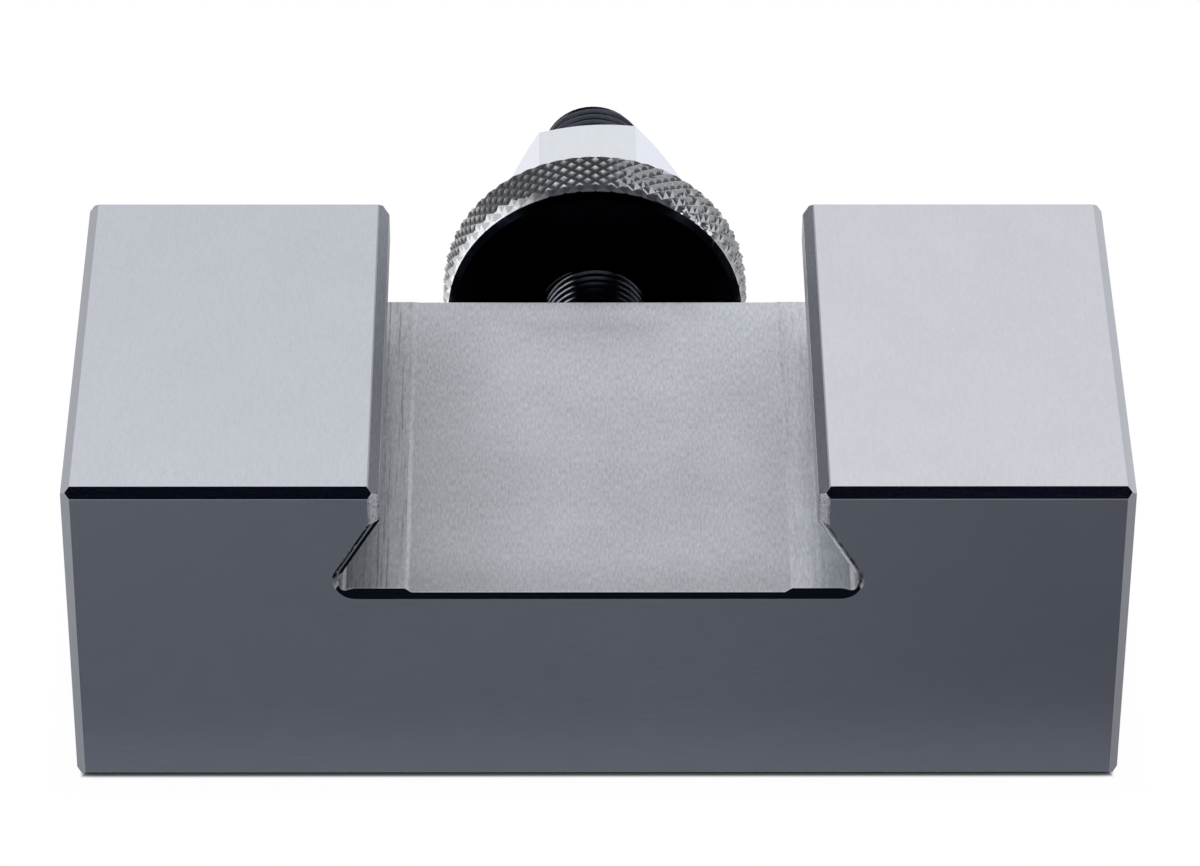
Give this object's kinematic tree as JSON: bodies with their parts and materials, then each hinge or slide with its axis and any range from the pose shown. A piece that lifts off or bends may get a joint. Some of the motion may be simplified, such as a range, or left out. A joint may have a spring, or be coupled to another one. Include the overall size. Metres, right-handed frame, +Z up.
{
  "type": "quick change tool holder",
  "caption": "Ground steel lathe tool holder with a dovetail recess, a tool slot clamped by set screws, and a height stud with a knurled thumb nut and a jam nut.",
  "frame": {"origin": "middle of the footprint's bounding box, on the surface that the holder lies on", "axes": "+X along the holder's length, +Y from its lower face to the height stud, +Z up out of the dovetail recess"},
  "size_m": [0.075, 0.064, 0.0262],
  "materials": {
    "ground_steel": "fine ground, satin",
    "black_oxide": "black oxide, satin",
    "blackened_knurl": "black oxide, rubbed bright on the knurl",
    "bright_steel": "bright zinc plate"
  },
  "bodies": {
    "holder": {"tool_block": "ground_steel", "height_stud": "black_oxide"},
    "thumb_nut": {"thumb_nut": "blackened_knurl"},
    "jam_nut": {"jam_nut": "bright_steel"},
    "set_screw_1": {"set_screw_1": "black_oxide"},
    "set_screw_2": {"set_screw_2": "black_oxide"},
    "set_screw_3": {"set_screw_3": "black_oxide"},
    "set_screw_4": {"set_screw_4": "black_oxide"}
  },
  "joints": [
    {"name": "thumb_nut_travel", "type": "slide", "parent": "holder", "child": "thumb_nut", "axis": [0, 1, 0], "range_m": [-0.005, 0.0033]},
    {"name": "jam_nut_travel", "type": "slide", "parent": "thumb_nut", "child": "jam_nut", "axis": [0, 1, 0], "range_m": [0, 0.0033]},
    {"name": "set_screw_1_travel", "type": "slide", "parent": "holder", "child": "set_screw_1", "axis": [0, 1, 0], "range_m": [-0.012, 0.004]},
    {"name": "set_screw_2_travel", "type": "slide", "parent": "holder", "child": "set_screw_2", "axis": [0, 1, 0], "range_m": [-0.012, 0.004]},
    {"name": "set_screw_3_travel", "type": "slide", "parent": "holder", "child": "set_screw_3", "axis": [0, 1, 0], "range_m": [-0.012, 0.004]},
    {"name": "set_screw_4_travel", "type": "slide", "parent": "holder", "child": "set_screw_4", "axis": [0, 1, 0], "range_m": [-0.012, 0.004]}
  ]
}
